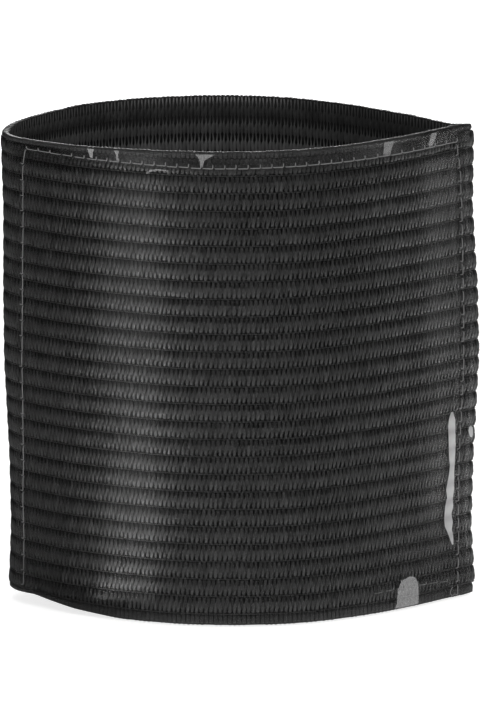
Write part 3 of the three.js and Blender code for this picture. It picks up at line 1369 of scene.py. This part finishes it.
@dataclass
class Buckles:
    """The small buckles where the window has been creased along its margins, pale with painted glare."""

    loop: Loop
    swell: float = 0.12
    lift: float = 0.03
    cell: float = 0.6

    def outlined(self, bm: bmesh.types.BMesh, buckle: Buckle) -> None:
        """Lays one buckle's patch with its soft rim, cut into cells so that it bends with the wall.

        Args:
            bm: the mesh that gets the patch, with a "pale" layer that holds its painted glare.
            buckle: which buckle it is.
        """
        pale = bm.verts.layers.float["pale"]
        corners = [bm.verts.new((along, 0.0, level)) for along, level in buckle.outline]
        border = [bm.edges.new(pair) for pair in zip(corners, corners[1:] + corners[:1])]
        bmesh.ops.triangle_fill(bm, edges=border, use_beauty=True)
        patch = bm.faces[:]
        bmesh.ops.inset_region(bm, faces=patch, thickness=buckle.rim, use_even_offset=True)
        for vert in {vert for face in patch for vert in face.verts}:
            vert[pale] = buckle.painted_glare
        for axis, way in ((0, (1, 0, 0)), (2, (0, 0, 1))):
            reach = [corner[min(axis, 1)] for corner in buckle.outline]
            for level in np.arange(min(reach) + self.cell, max(reach), self.cell):
                spot = tuple(level * share for share in way)
                whole = bm.verts[:] + bm.edges[:] + bm.faces[:]
                bmesh.ops.bisect_plane(bm, geom=whole, plane_co=spot, plane_no=way)

    def build(self, material: bpy.types.Material) -> bpy.types.Object:
        """Raises all the buckles from the face of the window.

        Args:
            material: the pale vinyl.

        Returns:
            The shown piece.
        """
        whole = bpy.data.meshes.new("window_buckles_glare")
        joined, shades = bmesh.new(), []
        for buckle in BUCKLES:
            bm = bmesh.new()
            pale = bm.verts.layers.float.new("pale")
            self.outlined(bm, buckle)
            shade = np.array([vert[pale] for vert in bm.verts])
            level = np.array([vert.co.z for vert in bm.verts])
            phase = (level - self.loop.webbing.lower_selvedge) / self.loop.webbing.rib_pitch
            # Painted glare, dimmed towards the valleys between ribs.
            shades.append(shade * (1 - buckle.glare_ripple * np.cos(math.pi * phase) ** 4))
            bm.to_mesh(whole)
            bm.free()
            joined.from_mesh(whole)
        joined.to_mesh(whole)
        joined.free()
        shades = np.concatenate(shades)
        flat = read_points(whole)
        proud = self.loop.window_lift(flat[:, 0], flat[:, 2]) + self.loop.window_thickness + self.lift
        flat[:, 1] = -proud - self.swell * shades
        return bent_piece(whole, flat, self.loop, material, shades)


@dataclass
class Stitches:
    """The machine stitches that hold the window, each with one end standing up."""

    loop: Loop
    sides: int = 6
    uneven: float = 0.06
    loose_thread: float = 0.08
    turn: float = 0.12
    hole: float = 0.22
    low: float = 0.04
    proud: float = 0.10
    tick_proud: float = 0.13
    seed: int = 41

    def strand(self, path: list[tuple[float, float, float]], thread: float, name: str) -> bpy.types.Mesh:
        """Runs a piece of thread along a path.

        Args:
            path: the points that it follows.
            thread: half its thickness.
            name: the mesh's name.

        Returns:
            The piece of thread.
        """
        rings = []
        for index, place in enumerate(path):
            before, after = path[max(index - 1, 0)], path[min(index + 1, len(path) - 1)]
            way = Vector(after) - Vector(before)
            out = Vector((0, -1, 0)) if abs(way.normalized().y) < 0.8 else Vector((-1, 0, 0))
            rings.append(ring(place, way, way.cross(out), thread, thread))
        bm = bmesh.new()
        tube(bm, rings, self.sides)
        return finished_mesh(bm, name)

    def unit(self, length: float, seam: Seam) -> bpy.types.Mesh:
        """Bends one stitch: up from its hole, along the face, down, and its end standing up beside it.

        Args:
            length: from one hole to the next.
            seam: the seam that it's in.

        Returns:
            The stitch, running in X from its first hole.
        """
        path = [
            (seam.gap - self.turn, self.hole, 0.0),
            (seam.gap, -self.low, 0.0),
            (seam.gap + 0.4, -self.proud, 0.02),
            (length - 0.6, -self.proud, 0.02),
            (length - 0.25, -self.proud, 0.0),
            (length - self.turn, -self.tick_proud, seam.tick * 0.3),
            (length - 0.10, -self.tick_proud, seam.tick * 0.7),
            (length - self.turn, 0.02, seam.tick),
        ]
        return self.strand(path, seam.thread, "stitch")

    def build(self, seam: Seam, material: bpy.types.Material) -> bpy.types.Object:
        """Sews one seam.

        Args:
            seam: where it runs.
            material: the thread's finish.

        Returns:
            The shown piece.
        """
        path = np.array(seam.path)
        seen = self.loop.bend(np.insert(path, 1, 0.0, axis=1))[:, [0, 2]] / MM
        steps = np.linalg.norm(np.diff(seen, axis=0), axis=1)
        way_at = np.concatenate([[0.0], np.cumsum(steps)])
        count = round(way_at[-1] / seam.stitch)
        pitch = way_at[-1] / count
        mesh = repeated(self.unit(pitch, seam), (count, Vector((pitch, 0, 0))))
        mesh.name = f"stitches_{seam.name}"
        points = read_points(mesh).reshape(count, -1, 3)
        middles = (np.arange(seam.turned) + 0.5)[:, None] * pitch
        points[: seam.turned, :, 0] = 2 * middles - points[: seam.turned, :, 0]
        chance = np.random.default_rng(self.seed)
        points += chance.normal(0, self.uneven, (count, 1, 3)) * [1.0, 0.2, 0.5]
        points = points.reshape(-1, 3)
        way, side = points[:, 0], points[:, 2] * seam.ticks.value
        place = np.stack([np.interp(way, way_at, path[:, k]) for k in range(2)], axis=1)
        ahead = np.stack([np.interp(way + 0.1, way_at, path[:, k]) for k in range(2)], axis=1)
        behind = np.stack([np.interp(way - 0.1, way_at, path[:, k]) for k in range(2)], axis=1)
        run = (ahead - behind) / np.linalg.norm(ahead - behind, axis=1)[:, None]
        along = place[:, 0] - run[:, 1] * side
        level = place[:, 1] + run[:, 0] * side
        depth = points[:, 1] - self.loop.window_lift(along, level) - self.loop.window_thickness
        flat = np.stack([along, depth, level], axis=1)
        return bent_piece(mesh, flat, self.loop, material)

    def loose_end(self, material: bpy.types.Material) -> bpy.types.Object:
        """Lays the short loose end of the thread, below the last stitch of the bottom run.

        Args:
            material: the thread's finish.

        Returns:
            The shown piece.
        """
        proud = self.loop.window_thickness + self.loop.window_gap + self.loose_thread
        path = [(along, -proud, level) for along, level in LOOSE_END]
        mesh = self.strand(path, self.loose_thread, "loose_end")
        return bent_piece(mesh, read_points(mesh), self.loop, material)


# The studio


@dataclass(frozen=True)
class SoftLight:
    """A soft light that faces a point, turned about the line to it."""

    name: str
    at: tuple[float, float, float]
    facing: tuple[float, float, float]
    width: float
    height: float
    power: float
    turn: float = 0.0


@dataclass(frozen=True)
class FloorStrip:
    """A strip of light that lies on the floor and runs away from the armband.

    Its azimuth is measured from the camera's side, and is above zero to the right.
    """

    name: str
    azimuth: float
    start: float
    end: float
    width: float
    power: float
    height: float = 0.004

    def light(self) -> SoftLight:
        """Places the strip as a soft light that faces up."""
        away = (self.start + self.end) / 2
        turn = math.radians(self.azimuth)
        x, y = away * math.sin(turn), -away * math.cos(turn)
        return SoftLight(
            self.name,
            at=(x, y, self.height),
            facing=(x, y, self.height + 1.0),
            width=self.width,
            height=self.end - self.start,
            power=self.power,
            turn=-self.azimuth,
        )


@dataclass
class Studio:
    """The pale floor, the soft lights and the camera."""

    aim: tuple[float, float, float] = (-0.0001, 0.0, 0.0499)
    elevation: float = 12.5
    distance: float = 4.0
    frame_height: float = 0.14906
    sensor: float = 36.0
    floor_size: float = 6.0
    floor_drop: float = 0.1
    floor_grey: float = 0.5
    floor_roughness: float = 0.9
    floor_specular: float = 0.1
    floor_glow: float = 0.75
    far_glow: float = 0.15
    glow_near: float = 0.12
    glow_far: float = 0.34
    world_strength: float = 0.45
    dim_side: tuple[float, float, float] = (-0.906, 0.423, 0.0)
    dim_share: float = 0.13
    dim_reach: float = 0.7
    lights: tuple[SoftLight, ...] = (
        SoftLight("overhead", at=(0, -0.7, 1.8), facing=(0, 0, 0), width=1.4, height=1.4, power=16.0),
        SoftLight("behind", at=(0.3, 1.6, 0.45), facing=(0, 0, 0.05), width=0.9, height=0.9, power=32.0),
        FloorStrip("left_near", azimuth=-44.5, start=0.036, end=0.09, width=0.014, power=0.011).light(),
        FloorStrip("left_middle", azimuth=-44.5, start=0.09, end=0.24, width=0.034, power=0.125).light(),
        FloorStrip("left_far", azimuth=-44.5, start=0.24, end=0.75, width=0.10, power=1.08).light(),
        FloorStrip("right_near", azimuth=97.0, start=0.056, end=0.10, width=0.014, power=0.004).light(),
        FloorStrip("right_middle", azimuth=97.0, start=0.10, end=0.24, width=0.034, power=0.060).light(),
        FloorStrip("right_far", azimuth=97.0, start=0.24, end=0.70, width=0.10, power=0.45).light(),
    )

    def build(self) -> None:
        """Sets the whole stage."""
        self.floor()
        self.world()
        for light in self.lights:
            self.light(light)
        self.camera()
        bpy.context.scene.view_settings.view_transform = "Standard"

    def floor(self) -> None:
        """Lays the floor under the armband."""
        bm = bmesh.new()
        bmesh.ops.create_grid(bm, x_segments=1, y_segments=1, size=self.floor_size / 2)
        bmesh.ops.translate(bm, verts=bm.verts, vec=(0, 0, -self.floor_drop * MM))
        floor = bpy.data.objects.new("floor", finished_mesh(bm, "floor"))
        material = bpy.data.materials.new("pale_floor")
        material.use_nodes = True
        shader = material.node_tree.nodes["Principled BSDF"]
        shader.inputs["Base Color"].default_value = (self.floor_grey,) * 3 + (1.0,)
        shader.inputs["Roughness"].default_value = self.floor_roughness
        shader.inputs["Specular IOR Level"].default_value = self.floor_specular
        shader.inputs["Emission Strength"].default_value = 1.0
        tree = material.node_tree
        place = tree.nodes.new("ShaderNodeTexCoord")
        glow = tree.nodes.new("ShaderNodeMapRange")
        path = tree.nodes.new("ShaderNodeLightPath")
        away = vector_node(tree, "LENGTH", place.outputs["Object"])
        glow.interpolation_type = "SMOOTHSTEP"
        glow.inputs["From Min"].default_value = self.glow_near
        glow.inputs["From Max"].default_value = self.glow_far
        glow.inputs["To Min"].default_value = self.floor_glow
        glow.inputs["To Max"].default_value = self.far_glow
        tree.links.new(away.outputs["Value"], glow.inputs["Value"])
        seen = math_node(tree, "MULTIPLY", path.outputs["Is Camera Ray"], self.floor_glow)
        share = self.share_towards(tree, place.outputs["Object"])
        dimmed = math_node(tree, "MULTIPLY", glow.outputs["Result"], share)
        shown = math_node(tree, "MAXIMUM", seen, dimmed)
        tree.links.new(shown, shader.inputs["Emission Color"])
        floor.data.materials.append(material)
        bpy.context.scene.collection.objects.link(floor)

    def world(self) -> None:
        """Fills the room with soft light, which is dimmer on the left behind the armband."""
        world = bpy.data.worlds.new("studio")
        world.use_nodes = True
        tree = world.node_tree
        background = tree.nodes["Background"]
        background.inputs["Color"].default_value = (1.0, 1.0, 1.0, 1.0)
        way = tree.nodes.new("ShaderNodeTexCoord")
        share = self.share_towards(tree, way.outputs["Generated"])
        strength = math_node(tree, "MULTIPLY", share, self.world_strength)
        tree.links.new(strength, background.inputs["Strength"])
        bpy.context.scene.world = world

    def share_towards(self, tree: bpy.types.NodeTree, way: bpy.types.NodeSocket) -> bpy.types.NodeSocket:
        """Adds nodes that dim one side of the room.

        Args:
            tree: the node tree that gets them.
            way: the direction from the armband, of any length.

        Returns:
            The share of the light that comes from that direction.
        """
        unit = vector_node(tree, "NORMALIZE", way)
        towards = vector_node(tree, "DOT_PRODUCT", unit.outputs["Vector"], self.dim_side)
        fall = tree.nodes.new("ShaderNodeMapRange")
        fall.interpolation_type = "SMOOTHSTEP"
        fall.inputs["From Min"].default_value = 0.0
        fall.inputs["From Max"].default_value = self.dim_reach
        fall.inputs["To Min"].default_value = 1.0
        fall.inputs["To Max"].default_value = self.dim_share
        tree.links.new(towards.outputs["Value"], fall.inputs["Value"])
        return fall.outputs["Result"]

    def light(self, light: SoftLight) -> None:
        """Hangs one soft light."""
        lamp = bpy.data.lights.new(light.name, "AREA")
        lamp.shape = "RECTANGLE"
        lamp.size = light.width
        lamp.size_y = light.height
        lamp.energy = light.power
        holder = bpy.data.objects.new(light.name, lamp)
        way = Vector(light.at) - Vector(light.facing)
        holder.location = light.at
        aimed = way.to_track_quat("Z", "Y").to_matrix()
        holder.rotation_euler = (aimed @ Matrix.Rotation(math.radians(light.turn), 3, "Z")).to_euler()
        holder.visible_camera = False
        bpy.context.scene.collection.objects.link(holder)

    def camera(self) -> None:
        """Sets the camera at the photograph's angle and framing."""
        lens = bpy.data.cameras.new("camera")
        lens.sensor_width = self.sensor
        lens.lens = self.sensor * self.distance / self.frame_height
        lens.clip_end = 100.0
        camera = bpy.data.objects.new("camera", lens)
        tilt = math.radians(self.elevation)
        way = Vector((0.0, -math.cos(tilt), math.sin(tilt)))
        camera.location = Vector(self.aim) + way * self.distance
        camera.rotation_euler = way.to_track_quat("Z", "Y").to_euler()
        bpy.context.scene.collection.objects.link(camera)
        bpy.context.scene.camera = camera


def main() -> None:
    """Builds the armband's pieces in order and reports each one."""
    logging.basicConfig(level=logging.INFO, format="%(name)s: %(message)s")
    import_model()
    loop = Loop(Webbing())
    LOG.info("loop: %.1f mm round", loop.length)
    # The ground is tinted near black and given little gloss: partly the cloth's own dark, partly painted
    # shade in the slots between the floats.
    ground = YarnFinish("ground_cloth", dark=0.003, light=0.006, gloss=0.6, specular=0.15).material()
    # Painted light and shade: the lower floats take a lighter, glossier copy of the yarn and the upper
    # floats a darker one, for the lit lower and shaded upper half of each rib.
    upper = YarnFinish("upper_yarn_shaded", dark=0.001, light=0.026, gloss=0.34, specular=0.26).material()
    lower = YarnFinish("lower_yarn_lit", dark=0.001, light=0.036, gloss=0.32, specular=0.42).material()
    tie = YarnFinish("tie_yarn", dark=0.012, light=0.026, gloss=0.35, specular=0.5).material()
    edge = YarnFinish("edge_yarn", dark=0.002, light=0.034, gloss=0.5, specular=0.15).material()
    # Painted light: the inner yarns take a far lighter tint than the outer ones, for light that the dim
    # inner wall lacks.
    inside = YarnFinish("inner_yarn_lightened", dark=0.004, light=0.120, gloss=0.33, specular=0.6).material()
    BandCloth(loop).build(ground)
    outer = OuterYarns(loop)
    outer.build("lower_floats", LOWER_FLOAT, offset=0.0, seed=11, material=lower)
    outer.build("upper_floats", UPPER_FLOAT, offset=0.5, seed=12, material=upper)
    TieThreads(loop).build(tie)
    InnerYarns(loop).build(inside)
    edges = Selvedges(loop)
    edges.build("lower_selvedge", 0.0, loop.webbing.lower_selvedge, upper)
    edges.build("upper_selvedge", loop.webbing.height, -loop.webbing.upper_selvedge, edge)
    clear = VinylFinish("clear_vinyl", ior=1.1, haze=0.015, mottle=1.0, roughness=0.22)
    # The pale vinyl's haze paints the glare on the buckles.
    pale = VinylFinish("glare_vinyl", ior=1.1, haze=0.55, mottle=0.28, roughness=0.3, spot_scale=600.0)
    WindowSheet(loop).build(clear.material())
    Buckles(loop).build(pale.material())
    thread = ThreadFinish().material()
    stitches = Stitches(loop)
    for seam in SEAMS:
        stitches.build(seam, thread)
    stitches.loose_end(thread)
    Studio().build()


if __name__ == "__main__":
    main()
